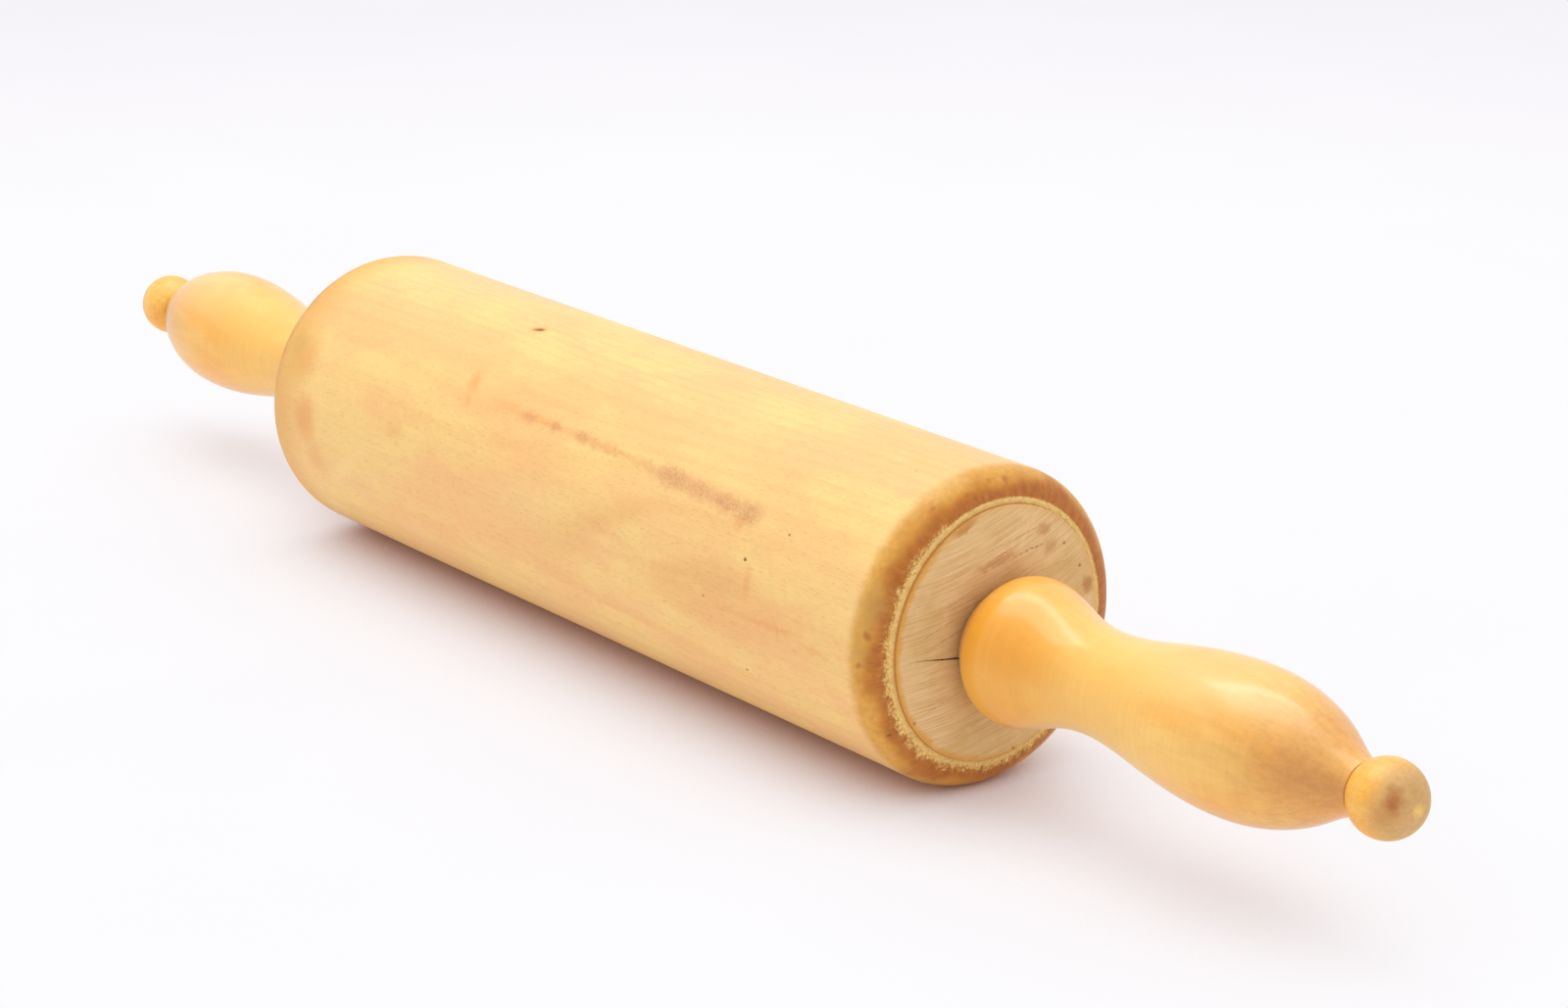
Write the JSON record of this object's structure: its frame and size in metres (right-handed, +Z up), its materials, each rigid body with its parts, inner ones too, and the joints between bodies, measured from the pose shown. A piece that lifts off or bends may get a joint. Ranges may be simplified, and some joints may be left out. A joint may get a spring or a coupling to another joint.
{
  "type": "rolling pin",
  "caption": "Thick wooden rolling pin with rounded barrel ends and a vase-shaped revolving handle at each end of a through axle, held on by a ball.",
  "frame": {"origin": "middle of the barrel, on its axis", "axes": "+X along the pin's axis, +Z up"},
  "size_m": [0.5012, 0.0742, 0.0742],
  "materials": {
    "barrel_maple": "worn satin lacquer, raw end grain",
    "handle_maple": "glossy amber lacquer",
    "ball_maple": "glossy amber lacquer, worn at the pole",
    "axle_wood": "bare"
  },
  "bodies": {
    "axle_unit": {"axle": "axle_wood", "end_ball_right": "ball_maple", "end_ball_left": "ball_maple"},
    "roller": {"barrel": "barrel_maple"},
    "right_grip": {"handle_right": "handle_maple"},
    "left_grip": {"handle_left": "handle_maple"}
  },
  "joints": [
    {"name": "barrel_spin", "type": "hinge", "parent": "axle_unit", "child": "roller", "pos_m": [0, 0, 0], "axis": [1, 0, 0], "continuous": true},
    {"name": "right_handle_spin", "type": "hinge", "parent": "axle_unit", "child": "right_grip", "pos_m": [0.18145, 0, -0.00155], "axis": [1, 0, 0], "continuous": true},
    {"name": "left_handle_spin", "type": "hinge", "parent": "axle_unit", "child": "left_grip", "pos_m": [-0.18145, 0, -0.00155], "axis": [1, 0, 0], "continuous": true}
  ]
}
